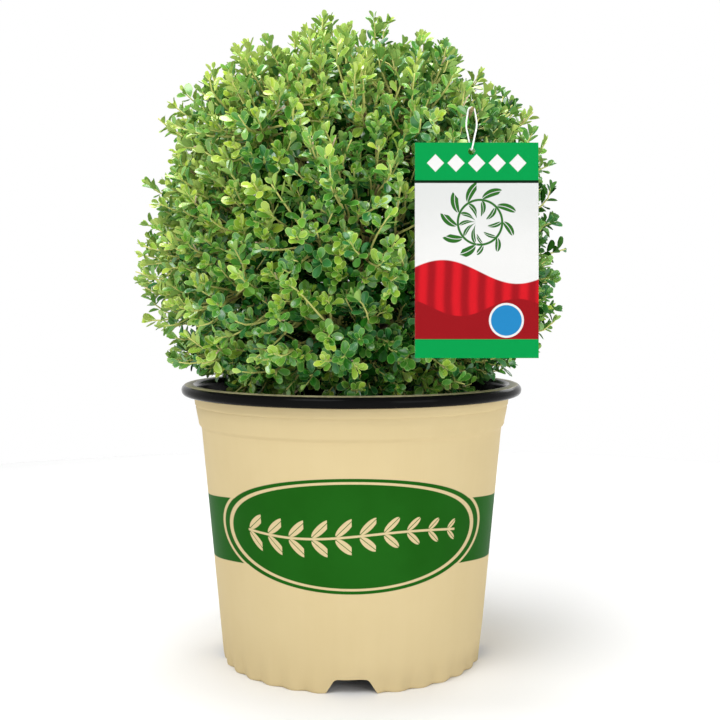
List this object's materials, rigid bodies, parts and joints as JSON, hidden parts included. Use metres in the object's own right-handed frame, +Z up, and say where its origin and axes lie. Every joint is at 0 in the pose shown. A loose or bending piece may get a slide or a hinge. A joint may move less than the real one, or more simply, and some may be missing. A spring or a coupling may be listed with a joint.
{
  "type": "potted boxwood shrub",
  "caption": "Rounded evergreen boxwood shrub with a dense leafy crown on a short hidden trunk, in a round fluted nursery pot with a rolled black rim and a hang tag.",
  "frame": {"origin": "on the surface that the pot stands on, on the pot's axis, which is the middle of the whole object's bounding box to within about 2 mm", "axes": "+Z up along the pot's axis; -Y is the front, with the pot's label and the hang tag; +X to the right seen from the front"},
  "size_m": [0.2952, 0.2977, 0.4519],
  "materials": {
    "pot_plastic": "satin",
    "rim_plastic": "gloss",
    "potting_mix": "matte",
    "bark": "matte",
    "foliage": "satin",
    "tag_card": "satin",
    "loop_elastic": "matte"
  },
  "bodies": {
    "root": {"pot_shell": "pot_plastic", "pot_rim": "rim_plastic", "soil": "potting_mix", "trunk": "bark", "bough_top": "bark", "bough_upper_1": "bark", "bough_upper_2": "bark", "bough_upper_3": "bark", "bough_upper_4": "bark", "bough_upper_5": "bark", "bough_middle_1": "bark", "bough_middle_2": "bark", "bough_middle_3": "bark", "bough_middle_4": "bark", "bough_middle_5": "bark", "bough_middle_6": "bark", "bough_lower_1": "bark", "bough_lower_2": "bark", "bough_lower_3": "bark", "bough_lower_4": "bark", "bough_lower_5": "bark", "foliage_top": "foliage", "foliage_upper_1": "foliage", "foliage_upper_2": "foliage", "foliage_upper_3": "foliage", "foliage_upper_4": "foliage", "foliage_upper_5": "foliage", "foliage_middle_1": "foliage", "foliage_middle_2": "foliage", "foliage_middle_3": "foliage", "foliage_middle_4": "foliage", "foliage_middle_5": "foliage", "foliage_middle_6": "foliage", "foliage_lower_1": "foliage", "foliage_lower_2": "foliage", "foliage_lower_3": "foliage", "foliage_lower_4": "foliage", "foliage_lower_5": "foliage", "hang_tag": "tag_card", "tag_loop": "loop_elastic"}
  },
  "joints": []
}
